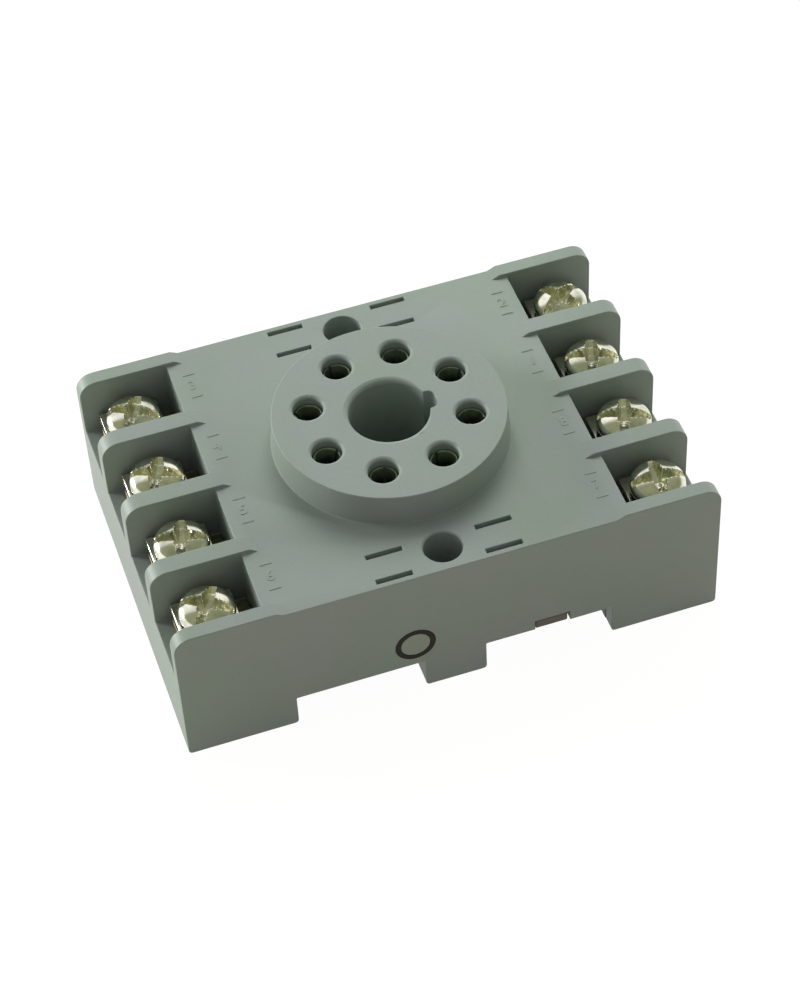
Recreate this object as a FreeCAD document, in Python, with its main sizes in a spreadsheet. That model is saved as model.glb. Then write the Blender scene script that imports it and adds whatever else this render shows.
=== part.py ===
import FreeCAD, Part
import math
import os
import re
import Sketcher

# Eight-pole relay socket with screw terminals, for a 35 mm mounting rail or two panel screws.
# X runs along the socket, Y along the rail and Z up. The origin is the centre of the base.
# Lengths are in millimetres.

SIZES = {
    # Rail channel and feet
    "rail_width": 35.0,
    "rail_clearance": 0.3,
    "rail_lip": 1.0,
    "foot_length": 12.2,
    "foot_height": 3.7,
    "middle_foot": 6.9,
    # Wiring bays
    "bay_length": 10.0,
    "bay_width": 7.65,
    "barrier": 2.1,
    "side_wall": 1.7,
    "end_wall": 1.4,
    "deck_height": 18.0,
    "deck_thickness": 2.0,
    "floor_height": 11.2,
    "floor_thickness": 1.2,
    "end_round": 2.0,
    "ridge_rise": 0.45,
    "ridge_run": 1.8,
    "ridge_ramp": 0.9,
    "edge_chamfer": 0.4,
    # Boss that the relay's base stands on
    "boss_radius": 12.65,
    "boss_draft": 0.25,
    "boss_rise": 3.8,
    "block_radius": 12.2,
    "block_drop": 5.6,
    # Key hole for the relay's centre post
    "key_radius": 4.4,
    "keyway_reach": 0.85,
    "keyway_width": 2.5,
    "key_tube_wall": 0.7,
    # Pin holes and their contacts
    "pin_circle": 17.45,
    "pin_hole": 3.3,
    "sleeve_depth": 1.0,
    "sleeve_wall": 0.26,
    "sleeve_clearance": 0.05,
    "sleeve_slot": 0.45,
    "sleeve_neck": 2.4,
    # Panel screw holes and the slots of a hold-down clip
    "mount_hole": 4.2,
    "mount_inset": 3.07,
    "mount_wall": 1.35,
    "clip_slot": 0.6,
    "clip_length": 4.0,
    "clip_start": 4.0,
    "clip_depth": 1.5,
    "clip_pitch": 3.5,
    "clip_inset": 0.62,
    # Terminal strips
    "strip_thickness": 1.0,
    "strip_width": 5.6,
    "strip_inset": 1.7,
    "arm_width": 3.6,
    "arm_clearance": 0.15,
    "arm_lead": 0.6,
    "tab_edge": 0.55,
    "well_clearance": 0.6,
    "well_wall": 0.75,
    "well_space": 0.3,
    # Terminal screws and clamp plates, left open by the screw lift, ready for a wire
    "thread": 3.5,
    "thread_clearance": 0.05,
    "thread_length": 7.0,
    "screw_lift": 1.0,
    "head_diameter": 6.0,
    "head_height": 2.7,
    "head_rim": 1.6,
    "head_flat": 2.2,
    "recess_width": 1.0,
    "recess_length": 4.2,
    "recess_depth": 1.5,
    "clamp_length": 6.6,
    "clamp_thickness": 0.9,
    "clamp_wing": 0.55,
    "clamp_wing_depth": 0.65,
    "clamp_bevel": 0.35,
    "clamp_side_gap": 0.33,
    "clamp_gap": 0.05,
    # Base cover, with the ears and snap hooks that hold it in the housing
    "cover_thickness": 1.3,
    "cover_gap": 0.15,
    "ear_start": 9.0,
    "ear_length": 4.0,
    "ear_inset": 0.35,
    "ear_gap": 0.4,
    "rib_width": 2.6,
    "rib_gap": 0.05,
    "snap_spot": 6.5,
    "snap_width": 4.0,
    "snap_thickness": 1.0,
    "snap_rise": 2.6,
    "snap_barb": 0.45,
    "snap_barb_height": 1.0,
    # Rail hooks
    "hook_reach": 1.5,
    "hook_ramp": 1.2,
    "hook_gap": 0.25,
    "hook_thickness": 0.9,
    "hook_width": 7.0,
    "hook_spacing": 18.0,
    # Sprung rail latch
    "latch_width": 12.4,
    "latch_thickness": 1.2,
    "latch_gap": 0.05,
    "latch_side_gap": 0.25,
    "latch_headroom": 0.35,
    "latch_end_gap": 0.15,
    "latch_ramp": 0.7,
    "latch_web": 1.2,
    "grip_length": 2.95,
    "grip_drop": 0.95,
    "grip_slot": 1.0,
    "grip_slot_width": 5.2,
    "spring_space": 3.5,
    "spring_rise": 3.35,
    "spring_chord": 8.8,
    "spring_strip": 0.3,
    "spring_height": 0.7,
    "post_length": 1.2,
    "post_width": 9.2,
    "post_gap": 0.1,
    "window_gap": 0.4,
    "guide_wall": 0.8,
}

# Sizes that follow from the ones above, in the order in which they are worked out
FOLLOWING = {
    "channel_half": "rail_width / 2 + rail_clearance",
    "body_half": "channel_half + foot_length",
    "deck_half": "body_half - bay_length",
    "bay_pitch": "bay_width + barrier",
    "width_half": "2 * bay_width + 1.5 * barrier + side_wall",
    "inside_half": "width_half - side_wall",
    "hall_half": "deck_half - end_wall",
    "deck_under": "deck_height - deck_thickness",
    "deck_middle": "deck_height - deck_thickness / 2",
    "floor_under": "floor_height - floor_thickness",
    "floor_middle": "floor_height - floor_thickness / 2",
    "ridge_top": "deck_height + ridge_rise",
    "boss_foot": "boss_radius + boss_draft",
    "boss_top": "deck_height + boss_rise",
    "block_bottom": "deck_under - block_drop",
    "key_tube": "key_radius + keyway_reach + key_tube_wall",
    "cover_floor": "foot_height + cover_thickness",
    "cover_middle": "cover_floor - cover_thickness / 2",
    "cover_edge": "inside_half - cover_gap",
    "snap_catch": "cover_floor + snap_rise",
    "snap_top": "snap_catch + snap_barb_height",
    "sleeve_corner": "pin_hole / 2 - sleeve_clearance",
    "sleeve_height": "boss_top - sleeve_depth - block_bottom",
    "arm_under": "block_bottom - strip_thickness",
    "tab_half": "pin_hole / 2 + tab_edge",
    "mount_spot": "width_half - mount_inset",
    "pillar_half": "mount_hole / 2 + mount_wall",
    "screw_spot": "body_half - bay_length / 2",
    "tap_radius": "thread / 2 + thread_clearance",
    "well_half": "tap_radius + well_clearance",
    "strip_top": "floor_height + strip_thickness",
    "clamp_under": "strip_top + clamp_gap + screw_lift",
    "clamp_top": "clamp_under + clamp_thickness",
    "head_under": "clamp_top + clamp_gap",
    "clamp_half": "bay_width / 2 - clamp_side_gap",
    "point_height": "head_under - thread_length",
    "cover_half": "body_half - end_wall - cover_gap",
    "hook_top": "foot_height - rail_lip - hook_gap",
    "latch_under": "cover_thickness + latch_gap",
    "latch_top": "latch_under + latch_thickness",
    "latch_roof": "latch_top + latch_headroom",
    "latch_half": "latch_width / 2",
    "guide_half": "latch_half + latch_side_gap",
    "latch_end": "body_half - latch_end_gap",
    "grip_start": "latch_end - grip_length",
    "post_end": "grip_start - latch_web",
    "post_start": "post_end - post_length",
    "window_start": "post_start - spring_space",
    "latch_nose": "channel_half - hook_reach",
}

# How far each cross recess is turned, in degrees, as the screws were left by the driver
SCREW_TURNS = [8, 62, 30, 75, 50, 18, 68, 40]

PIN_COUNT = 8
ROWS = (-1.5, -0.5, 0.5, 1.5)
CORNERS = [(-1, -1), (1, -1), (1, 1), (-1, 1)]
FULL_TURN = 360
ARM_SLOPE = 45

# Two places are the same within NEAR, and an edge runs along an axis if its share of it is over MOSTLY
NEAR = 0.01
MOSTLY = 0.9

document = FreeCAD.newDocument("relay_socket")
sheet = document.addObject("Spreadsheet::Sheet", "size")


def fill_sheet():
    """Write the driving sizes as plain numbers, and the sizes that follow as formulas of them."""
    row = 1
    for name, value in SIZES.items():
        sheet.set(f"A{row}", name)
        sheet.set(f"B{row}", str(value))
        sheet.setAlias(f"B{row}", name)
        row += 1
    for name, rule in FOLLOWING.items():
        sheet.set(f"A{row}", name)
        sheet.set(f"B{row}", "=" + rule)
        sheet.setAlias(f"B{row}", name)
        row += 1
    document.recompute()


def formula(text):
    """The same rule with each size written as a cell of the sheet."""

    def as_cell(word):
        known = word.group() in SIZES or word.group() in FOLLOWING
        return "size." + word.group() if known else word.group()

    return re.sub(r"[a-z_]+", as_cell, str(text))


def number(text):
    return float(sheet.evalExpression(formula(text)))


def bind(thing, path, rule):
    thing.setExpression(path, formula(rule))


def new_body(name):
    body = document.addObject("PartDesign::Body", name)
    body.Label = name
    return body


def origin_feature(body, role):
    for feature in body.Origin.OriginFeatures:
        if feature.Role == role:
            return feature
    raise ValueError(role)


def new_sketch(body, name, plane, offset="0", turn=0):
    """A sketch on one of the body's own planes, moved along the plane's normal and turned about it."""
    sketch = body.newObject("Sketcher::SketchObject", name)
    sketch.AttachmentSupport = [(origin_feature(body, plane), "")]
    sketch.MapMode = "FlatFace"
    turned = FreeCAD.Rotation(FreeCAD.Vector(0, 0, 1), turn)
    sketch.AttachmentOffset = FreeCAD.Placement(FreeCAD.Vector(), turned)
    bind(sketch, "AttachmentOffset.Base.z", offset)
    return sketch


def loose_sketch(name):
    return document.addObject("Sketcher::SketchObject", name)


def hold(sketch, geometry, end, x, y):
    """Fix one point of a sketch by its two distances from the sketch's origin."""
    for kind, rule in (("DistanceX", x), ("DistanceY", y)):
        constraint = Sketcher.Constraint(kind, -1, 1, geometry, end, number(rule))
        index = sketch.addConstraint(constraint)
        bind(sketch, f"Constraints[{index}]", rule)


def outline(sketch, corners):
    """A closed outline of straight lines through the corners, each held in place."""
    first = sketch.GeometryCount
    spots = [FreeCAD.Vector(number(x), number(y), 0) for x, y in corners]
    count = len(spots)
    for index in range(count):
        sketch.addGeometry(Part.LineSegment(spots[index], spots[(index + 1) % count]))
    for index in range(count):
        after = first + (index + 1) % count
        sketch.addConstraint(Sketcher.Constraint("Coincident", first + index, 2, after, 1))
    for index, (x, y) in enumerate(corners):
        hold(sketch, first + index, 1, x, y)


def rectangle(sketch, left, right, low, high):
    outline(sketch, [(left, low), (right, low), (right, high), (left, high)])


def square(sketch, x, y, half):
    rectangle(sketch, f"{x} - {half}", f"{x} + {half}", f"{y} - {half}", f"{y} + {half}")


def octagon(sketch, radius):
    """Eight-sided outline about the origin, its corners at the angles of the pins."""
    angles = [FULL_TURN / PIN_COUNT * (count + 0.5) for count in range(PIN_COUNT)]
    outline(sketch, [(f"{radius} * cos({angle})", f"{radius} * sin({angle})") for angle in angles])


def circle(sketch, x, y, radius):
    centre = FreeCAD.Vector(number(x), number(y), 0)
    normal = FreeCAD.Vector(0, 0, 1)
    index = sketch.addGeometry(Part.Circle(centre, normal, number(radius)))
    hold(sketch, index, 3, x, y)
    size = sketch.addConstraint(Sketcher.Constraint("Radius", index, number(radius)))
    bind(sketch, f"Constraints[{size}]", radius)


def pad(body, name, sketch, length, both_ways=False):
    feature = body.newObject("PartDesign::Pad", name)
    feature.Profile = sketch
    feature.SideType = "Symmetric" if both_ways else "One side"
    bind(feature, "Length", length)
    sketch.Visibility = False
    return feature


def pocket(body, name, sketch, depth, upwards=False, both_ways=False):
    """Cut along the sketch's normal, downwards unless told."""
    feature = body.newObject("PartDesign::Pocket", name)
    feature.Profile = sketch
    feature.SideType = "Symmetric" if both_ways else "One side"
    feature.Reversed = upwards
    bind(feature, "Length", depth)
    sketch.Visibility = False
    return feature


def revolve(body, name, sketch):
    feature = body.newObject("PartDesign::Revolution", name)
    feature.Profile = sketch
    feature.ReferenceAxis = (origin_feature(body, "Z_Axis"), [""])
    feature.Angle = FULL_TURN
    sketch.Visibility = False
    return feature


def around_pins(body, name, feature):
    """Repeat a feature at each pin of the circle."""
    pattern = body.newObject("PartDesign::PolarPattern", name)
    pattern.Originals = [feature]
    pattern.Axis = (origin_feature(body, "Z_Axis"), [""])
    pattern.Angle = FULL_TURN
    pattern.Occurrences = PIN_COUNT
    body.Tip = pattern


def edges_where(body, test):
    """Names of the straight edges whose middle and direction pass a test."""
    document.recompute()
    names = []
    for index, edge in enumerate(body.Shape.Edges, start=1):
        if isinstance(edge.Curve, Part.Line) and test(edge.CenterOfMass, edge.tangentAt(edge.FirstParameter)):
            names.append(f"Edge{index}")
    if not names:
        raise ValueError("no edge passes the test")
    return names


def dress(body, name, kind, edges, size):
    """A fillet or chamfer of the body's present shape."""
    base = body.Tip
    feature = body.newObject("PartDesign::" + kind, name)
    feature.Base = (base, edges)
    bind(feature, "Radius" if kind == "Fillet" else "Size", size)
    return feature


def terminal(count):
    """Side of a terminal, its row counted from the middle in bay pitches, and its pin's angle."""
    angle = FULL_TURN / PIN_COUNT * (count - 0.5)
    side = 1 if math.cos(math.radians(angle)) > 0 else -1
    depth = math.sin(math.radians(angle))
    row = math.copysign(0.5 if abs(depth) < 0.5 else 1.5, depth)
    return side, row, angle


def terminal_spots():
    for count in range(1, PIN_COUNT + 1):
        side, row, _ = terminal(count)
        yield f"{side} * screw_spot", f"{row} * bay_pitch"


def housing():
    """Grey moulded housing: deck, boss, eight wiring bays and the walls down to the feet."""
    body = new_body("housing")
    front = new_sketch(body, "front_outline", "XZ_Plane")
    half = [
        ("middle_foot / 2", "0"), ("middle_foot / 2", "foot_height"), ("channel_half", "foot_height"),
        ("channel_half", "0"), ("body_half", "0"), ("body_half", "deck_height"),
    ]
    other = [(f"-({x})", y) for x, y in reversed(half)]
    outline(front, half + other)
    pad(body, "outer_block", front, "2 * width_half", both_ways=True)
    tops = edges_where(body, lambda spot, way: abs(way.y) > MOSTLY
                       and abs(spot.z - number("deck_height")) < NEAR
                       and abs(spot.x) > number("body_half") - NEAR)
    dress(body, "end_rounds", "Fillet", tops, "end_round")
    lows = edges_where(body, lambda spot, way: abs(way.x) > MOSTLY
                       and abs(spot.z - number("foot_height")) < NEAR
                       and abs(spot.y) > number("width_half") - NEAR)
    dress(body, "rail_bevels", "Chamfer", lows, "edge_chamfer")

    wall_openings(body)
    cavity(body)
    boss(body)
    cover_catches(body)
    key_hole(body)
    pin_holes(body)
    deck_openings(body)
    ridges(body)
    bays(body)
    wells(body)
    return body


def ridges(body):
    """Raised tops of the two outer walls and of the three barriers between the bays, at both ends."""
    wall_middle = "width_half - side_wall / 2"
    rows = (
        ("front_wall_ridges", f"-({wall_middle})", "side_wall"), ("front_ridges", "-bay_pitch", "barrier"),
        ("middle_ridges", "0", "barrier"), ("back_ridges", "bay_pitch", "barrier"),
        ("back_wall_ridges", wall_middle, "side_wall"),
    )
    for name, middle, thickness in rows:
        profile = new_sketch(body, name + "_profile", "XZ_Plane", middle)
        for side in (-1, 1):
            ridge_outline(profile, side)
        pad(body, name, profile, thickness, both_ways=True)


def ridge_outline(sketch, side):
    """Side view of the raised top of a wall, with its round outer end and the ramp at its inner end."""
    top = "ridge_top"
    inner = "deck_half - ridge_run"
    crest = f"{inner} + ridge_ramp"
    bend = "body_half - end_round"
    low = "floor_height"
    first = sketch.GeometryCount
    flat_end = FreeCAD.Vector(side * number(bend), number(top), 0)
    round_end = FreeCAD.Vector(side * number("body_half"), number(f"{top} - end_round"), 0)
    centre = FreeCAD.Vector(side * number(bend), number(f"{top} - end_round"), 0)
    slope = number("end_round") * math.sqrt(0.5)
    middle = centre + FreeCAD.Vector(side * slope, slope, 0)
    low_out = FreeCAD.Vector(side * number("body_half"), number(low), 0)
    low_in = FreeCAD.Vector(side * number(inner), number(low), 0)
    deck_in = FreeCAD.Vector(side * number(inner), number("deck_height"), 0)
    top_in = FreeCAD.Vector(side * number(crest), number(top), 0)
    sketch.addGeometry(Part.LineSegment(top_in, flat_end))
    sketch.addGeometry(Part.Arc(flat_end, middle, round_end))
    sketch.addGeometry(Part.LineSegment(round_end, low_out))
    sketch.addGeometry(Part.LineSegment(low_out, low_in))
    sketch.addGeometry(Part.LineSegment(low_in, deck_in))
    sketch.addGeometry(Part.LineSegment(deck_in, top_in))
    arc = first + 1
    arc_ends = (1, 2) if side < 0 else (2, 1)
    sketch.addConstraint(Sketcher.Constraint("Coincident", first, 2, arc, arc_ends[0]))
    sketch.addConstraint(Sketcher.Constraint("Coincident", arc, arc_ends[1], first + 2, 1))
    sketch.addConstraint(Sketcher.Constraint("Coincident", first + 2, 2, first + 3, 1))
    sketch.addConstraint(Sketcher.Constraint("Coincident", first + 3, 2, first + 4, 1))
    sketch.addConstraint(Sketcher.Constraint("Coincident", first + 4, 2, first + 5, 1))
    sketch.addConstraint(Sketcher.Constraint("Coincident", first + 5, 2, first, 1))
    hold(sketch, first, 1, f"{side} * ({crest})", top)
    hold(sketch, arc, arc_ends[0], f"{side} * ({bend})", top)
    hold(sketch, arc, arc_ends[1], f"{side} * body_half", f"{top} - end_round")
    hold(sketch, first + 3, 1, f"{side} * body_half", low)
    hold(sketch, first + 3, 2, f"{side} * ({inner})", low)
    hold(sketch, first + 4, 2, f"{side} * ({inner})", "deck_height")
    size = sketch.addConstraint(Sketcher.Constraint("Radius", arc, number("end_round")))
    bind(sketch, f"Constraints[{size}]", "end_round")


def cavity(body):
    """Hollow inside: below the bay floors over the whole base, and up to the deck between the bays."""
    low = new_sketch(body, "base_hollow_outline", "XY_Plane")
    inside = "body_half - end_wall"
    rectangle(low, f"-({inside})", inside, "-inside_half", "inside_half")
    pocket(body, "base_hollow", low, "floor_under", upwards=True)
    high = new_sketch(body, "hall_outline", "XY_Plane")
    rectangle(high, "-hall_half", "hall_half", "-inside_half", "inside_half")
    pocket(body, "hall", high, "deck_under", upwards=True)


def boss(body):
    """Round boss on the deck with a slight draft, and the block under the deck that holds the contacts."""
    section = new_sketch(body, "boss_section", "XZ_Plane")
    outline(section, [
        ("0", "deck_middle"), ("boss_foot", "deck_middle"), ("boss_foot", "deck_height"),
        ("boss_radius", "boss_top"), ("0", "boss_top"),
    ])
    revolve(body, "boss", section)
    block = new_sketch(body, "block_outline", "XY_Plane", "block_bottom")
    octagon(block, "block_radius")
    pad(body, "contact_block", block, "deck_middle - block_bottom")


def cover_catches(body):
    """Pillars of the panel screws, and recesses in the long walls that the cover's snap hooks catch in."""
    panel = new_sketch(body, "panel_pillar_outlines", "XY_Plane")
    for end in (-1, 1):
        rectangle(panel, "-middle_foot / 2", "middle_foot / 2",
                  f"{end} * (mount_spot - pillar_half)", f"{end} * (inside_half + side_wall / 2)")
    pad(body, "panel_pillars", panel, "deck_middle")
    recess = new_sketch(body, "snap_recess_outlines", "XY_Plane", "snap_top + cover_gap")
    half = "(snap_width / 2 + cover_gap)"
    for across, along in CORNERS:
        rectangle(recess, f"{across} * snap_spot - {half}", f"{across} * snap_spot + {half}",
                  f"{along} * cover_edge", f"{along} * (inside_half + snap_barb)")
    pocket(body, "snap_recesses", recess, "snap_top + cover_gap - snap_catch")


def bays(body):
    """Eight bays, open at the top and at the end, each with a slot for its strip through the inner wall."""
    plan = new_sketch(body, "bay_outlines", "XY_Plane", "ridge_top")
    slots = new_sketch(body, "strip_slot_outlines", "XY_Plane", "floor_height")
    half_slot = "(arm_width / 2 + arm_clearance)"
    for side in (-1, 1):
        for row in ROWS:
            middle = f"{row} * bay_pitch"
            rectangle(plan, f"{side} * deck_half", f"{side} * (body_half + end_wall)",
                      f"{middle} - bay_width / 2", f"{middle} + bay_width / 2")
            rectangle(slots, f"{side} * (hall_half - arm_clearance)", f"{side} * (deck_half + arm_clearance)",
                      f"{middle} - {half_slot}", f"{middle} + {half_slot}")
    pocket(body, "wiring_bays", plan, "ridge_top - floor_height")
    pocket(body, "strip_slots", slots, "strip_thickness + arm_clearance", upwards=True)


def wells(body):
    """A square blind well under each terminal screw, with walls of its own below its bay's floor."""
    walls = new_sketch(body, "well_wall_outlines", "XY_Plane", "latch_roof")
    hollows = new_sketch(body, "well_outlines", "XY_Plane", "floor_height")
    for spot in terminal_spots():
        square(walls, *spot, "(well_half + well_wall)")
        square(hollows, *spot, "well_half")
    pad(body, "well_walls", walls, "floor_middle - latch_roof")
    pocket(body, "wells", hollows, "floor_height - point_height + screw_lift + well_space")


def key_hole(body):
    """Centre hole with its keyway towards +X, in a tube that reaches the base cover."""
    tube = new_sketch(body, "key_tube_outline", "XY_Plane", "cover_floor + cover_gap")
    circle(tube, "0", "0", "key_tube")
    pad(body, "key_tube_pad", tube, "block_bottom - cover_floor")
    bore = new_sketch(body, "key_bore_outline", "XY_Plane", "boss_top")
    circle(bore, "0", "0", "key_radius")
    pocket(body, "key_bore", bore, "boss_top")
    way = new_sketch(body, "keyway_outline", "XY_Plane", "boss_top")
    rectangle(way, "0", "key_radius + keyway_reach", "-keyway_width / 2", "keyway_width / 2")
    pocket(body, "keyway", way, "boss_top")


def pin_holes(body):
    """Hole of one pin, straight down through boss and block, repeated round the circle."""
    hole = new_sketch(body, "pin_hole_outline", "XY_Plane", "boss_top", FULL_TURN / PIN_COUNT / 2)
    circle(hole, "pin_circle / 2", "0", "pin_hole / 2")
    around_pins(body, "pin_holes", pocket(body, "pin_hole_cut", hole, "boss_top - block_bottom"))


def deck_openings(body):
    """Two panel screw holes, and four pairs of slots where a hold-down clip hooks in."""
    holes = new_sketch(body, "panel_hole_outlines", "XY_Plane", "deck_height")
    for end in (-1, 1):
        circle(holes, "0", f"{end} * mount_spot", "mount_hole / 2")
    pocket(body, "panel_holes", holes, "deck_height")
    slots = new_sketch(body, "clip_slot_outlines", "XY_Plane", "deck_height")
    outer = "(width_half - clip_inset - clip_slot)"
    inner = f"({outer} - clip_pitch)"
    for across, along in CORNERS:
        left = f"{across} * clip_start"
        right = f"{across} * (clip_start + clip_length)"
        rectangle(slots, left, right, f"{along} * {outer}", f"{along} * ({outer} + clip_slot)")
        rectangle(slots, left, right, f"{along} * {inner}", f"{along} * ({inner} + clip_slot)")
    pocket(body, "clip_slots", slots, "clip_depth")


def wall_openings(body):
    """Notches in both long walls for the cover's ears, and the mouth of the latch in one end wall."""
    ears = new_sketch(body, "ear_notch_outlines", "XZ_Plane")
    rectangle(ears, "ear_start", "ear_start + ear_length", "0", "cover_floor + ear_gap")
    pocket(body, "ear_notches", ears, "2 * (width_half + side_wall)", both_ways=True)
    mouth = new_sketch(body, "latch_mouth_outline", "XY_Plane")
    rectangle(mouth, "cover_half - cover_gap", "body_half + end_wall", "-guide_half", "guide_half")
    pocket(body, "latch_mouth", mouth, "latch_roof", upwards=True)


def base_cover():
    """Brown cover that closes the base: floors of the feet, rail channel, hooks and latch guide."""
    body = new_body("base_cover")
    profile = new_sketch(body, "cover_profile", "XZ_Plane")
    rib_inside = "middle_foot / 2 - cover_thickness"
    half = [
        ("cover_half", "0"), ("cover_half", "cover_thickness"),
        ("channel_half + cover_thickness", "cover_thickness"),
        ("channel_half + cover_thickness", "cover_floor"),
        (rib_inside, "cover_floor"), (rib_inside, "cover_thickness"),
    ]
    under = [
        ("middle_foot / 2", "0"), ("middle_foot / 2", "foot_height"),
        ("channel_half", "foot_height"), ("channel_half", "0"),
    ]
    other_half = [(f"-({x})", y) for x, y in reversed(half)]
    other_under = [(f"-({x})", y) for x, y in reversed(under)]
    outline(profile, half + other_half + other_under + under)
    pad(body, "cover_tray", profile, "2 * cover_edge", both_ways=True)

    clear = new_sketch(body, "pillar_clearance_outlines", "XY_Plane")
    for end in (-1, 1):
        rectangle(clear, "-middle_foot / 2 - cover_gap", "middle_foot / 2 + cover_gap",
                  f"{end} * (mount_spot - pillar_half - cover_gap)", f"{end} * width_half")
    pocket(body, "pillar_clearances", clear, "cover_floor", upwards=True)

    rib = new_sketch(body, "contact_rib_outline", "XY_Plane", "cover_middle")
    octagon(rib, "(pin_circle / 2 + rib_width / 2)")
    octagon(rib, "(pin_circle / 2 - rib_width / 2)")
    pad(body, "contact_rib", rib, "arm_under - rib_gap - cover_middle")

    ears = new_sketch(body, "ear_outlines", "XY_Plane", "foot_height")
    for end in (-1, 1):
        rectangle(ears, "ear_start + cover_gap", "ear_start + ear_length - cover_gap",
                  f"{end} * (cover_edge - side_wall)", f"{end} * (width_half - ear_inset)")
    pad(body, "ears", ears, "cover_thickness")

    hooks = new_sketch(body, "hook_profile", "XZ_Plane")
    root = "-channel_half - cover_thickness / 2"
    outline(hooks, [
        (root, "hook_top"), ("-channel_half + hook_reach", "hook_top"),
        ("-channel_half + hook_reach", "hook_top - hook_thickness"),
        ("-channel_half", "hook_top - hook_thickness - hook_ramp"),
        (root, "hook_top - hook_thickness - hook_ramp"),
    ])
    pad(body, "rail_hooks", hooks, "hook_spacing + hook_width", both_ways=True)
    between = new_sketch(body, "hook_gap_outline", "XY_Plane")
    rectangle(between, "-channel_half", "-channel_half + 2 * hook_reach",
              "-hook_spacing / 2 + hook_width / 2", "hook_spacing / 2 - hook_width / 2")
    pocket(body, "hook_gap_cut", between, "foot_height", upwards=True)

    snap_hooks(body)
    latch_guide(body)
    return body


def snap_hooks(body):
    """Four upright arms with barbs that catch in the recesses of the long walls."""
    for side, name in ((-1, "left_snaps"), (1, "right_snaps")):
        section = new_sketch(body, name + "_section", "YZ_Plane", f"{side} * snap_spot")
        for end in (-1, 1):
            outline(section, [
                (f"{end} * (cover_edge - snap_thickness)", "cover_middle"), (f"{end} * cover_edge", "cover_middle"),
                (f"{end} * cover_edge", "snap_catch"), (f"{end} * (cover_edge + snap_barb)", "snap_catch"),
                (f"{end} * cover_edge", "snap_top"), (f"{end} * (cover_edge - snap_thickness)", "snap_top"),
            ])
        pad(body, name, section, "snap_width", both_ways=True)


def latch_guide(body):
    """Window, side rails and post of the latch, and the floor cut away under its grip."""
    window = new_sketch(body, "latch_window_outline", "XY_Plane", "cover_thickness")
    rectangle(window, "channel_half - hook_reach", "channel_half + cover_thickness + hook_reach",
              "-guide_half", "guide_half")
    pocket(body, "latch_window", window, "latch_roof - cover_thickness", upwards=True)
    rails = new_sketch(body, "latch_rail_outlines", "XY_Plane", "cover_thickness / 2")
    for side in (-1, 1):
        rectangle(rails, "channel_half + cover_thickness / 2", "cover_half",
                  f"{side} * guide_half", f"{side} * (guide_half + guide_wall)")
    pad(body, "latch_rails", rails, "latch_roof - cover_thickness / 2 - latch_gap")
    post = new_sketch(body, "latch_post_outline", "XY_Plane", "cover_thickness / 2")
    rectangle(post, "post_start", "post_end", "-post_width / 2", "post_width / 2")
    pad(body, "latch_post", post, "latch_top - cover_thickness / 2 + latch_headroom / 2")
    under = new_sketch(body, "grip_opening_outline", "XY_Plane")
    rectangle(under, "grip_start - latch_side_gap", "body_half", "-guide_half", "guide_half")
    pocket(body, "grip_opening", under, "cover_thickness", upwards=True)


def rail_latch():
    """Sprung slide: nose under the rail's lip, window round spring and post, grip with a driver slot."""
    body = new_body("rail_latch")
    plan = new_sketch(body, "latch_plan", "XY_Plane", "latch_under")
    rectangle(plan, "latch_nose", "latch_end", "-latch_half", "latch_half")
    pad(body, "latch_plate", plan, "latch_thickness")
    window = new_sketch(body, "spring_window_plan", "XY_Plane", "latch_top")
    rectangle(window, "window_start", "post_end + post_gap",
              "-post_width / 2 - window_gap", "post_width / 2 + window_gap")
    pocket(body, "spring_window", window, "latch_thickness")
    grip = new_sketch(body, "grip_plan", "XY_Plane", "latch_under - grip_drop")
    rectangle(grip, "grip_start", "latch_end", "-latch_half", "latch_half")
    pad(body, "grip", grip, "grip_drop + latch_thickness / 2")
    slot = new_sketch(body, "driver_slot_plan", "XY_Plane", "latch_top")
    middle = "(grip_start + latch_end) / 2"
    rectangle(slot, f"{middle} - grip_slot / 2", f"{middle} + grip_slot / 2",
              "-grip_slot_width / 2", "grip_slot_width / 2")
    pocket(body, "driver_slot", slot, "latch_thickness + grip_drop")
    nose = edges_where(body, lambda spot, way: abs(way.y) > MOSTLY
                       and spot.x < number("latch_nose") + NEAR
                       and spot.z < number("latch_under") + NEAR)
    dress(body, "nose_ramp", "Chamfer", nose, "latch_ramp")
    return body


def latch_spring():
    """Bowed leaf of spring steel: its ends bear on the cover's post and its crown on the latch."""
    body = new_body("latch_spring")
    height = "latch_under + latch_thickness / 2 - spring_height / 2"
    plan = new_sketch(body, "spring_plan", "XY_Plane", height)
    radius = "((spring_chord / 2) ^ 2 + spring_rise ^ 2) / (2 * spring_rise)"
    crown = "(window_start + latch_gap)"
    circle(plan, f"{crown} + {radius}", "0", radius)
    circle(plan, f"{crown} + {radius}", "0", f"{radius} - spring_strip")
    pad(body, "spring_hoop", plan, "spring_height")
    cut = new_sketch(body, "spring_ends_plan", "XY_Plane", height)
    rectangle(cut, "post_start - latch_gap", f"{crown} + 2 * {radius}", "-spring_chord", "spring_chord")
    pocket(body, "spring_ends", cut, "spring_height", upwards=True)
    return body


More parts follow.
